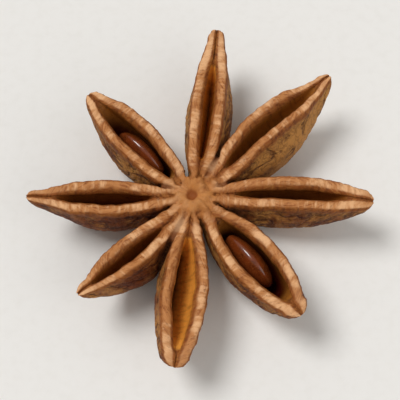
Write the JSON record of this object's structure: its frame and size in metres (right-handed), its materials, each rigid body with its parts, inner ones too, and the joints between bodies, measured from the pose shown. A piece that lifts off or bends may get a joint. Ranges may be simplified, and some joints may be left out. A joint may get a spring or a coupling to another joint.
{
  "type": "star anise pod",
  "caption": "Dried star-shaped spice pod: woody boat-shaped follicles round a short column, split along their upper seams, with glossy seeds inside.",
  "frame": {"origin": "on the surface the pod rests on, under the middle of its outline seen from above", "axes": "+Z up, the way the open seams face; +X along the arm that points to the right when the pod is seen from above with +Y up"},
  "size_m": [0.0342, 0.0358, 0.0076],
  "materials": {
    "husk": "dry, wrinkled and matt, paler along the lips, smooth and glossier inside",
    "seed_coat": "smooth and glossy"
  },
  "bodies": {
    "root": {"pod": "husk", "seed_1": "seed_coat", "seed_2": "seed_coat"}
  },
  "joints": []
}
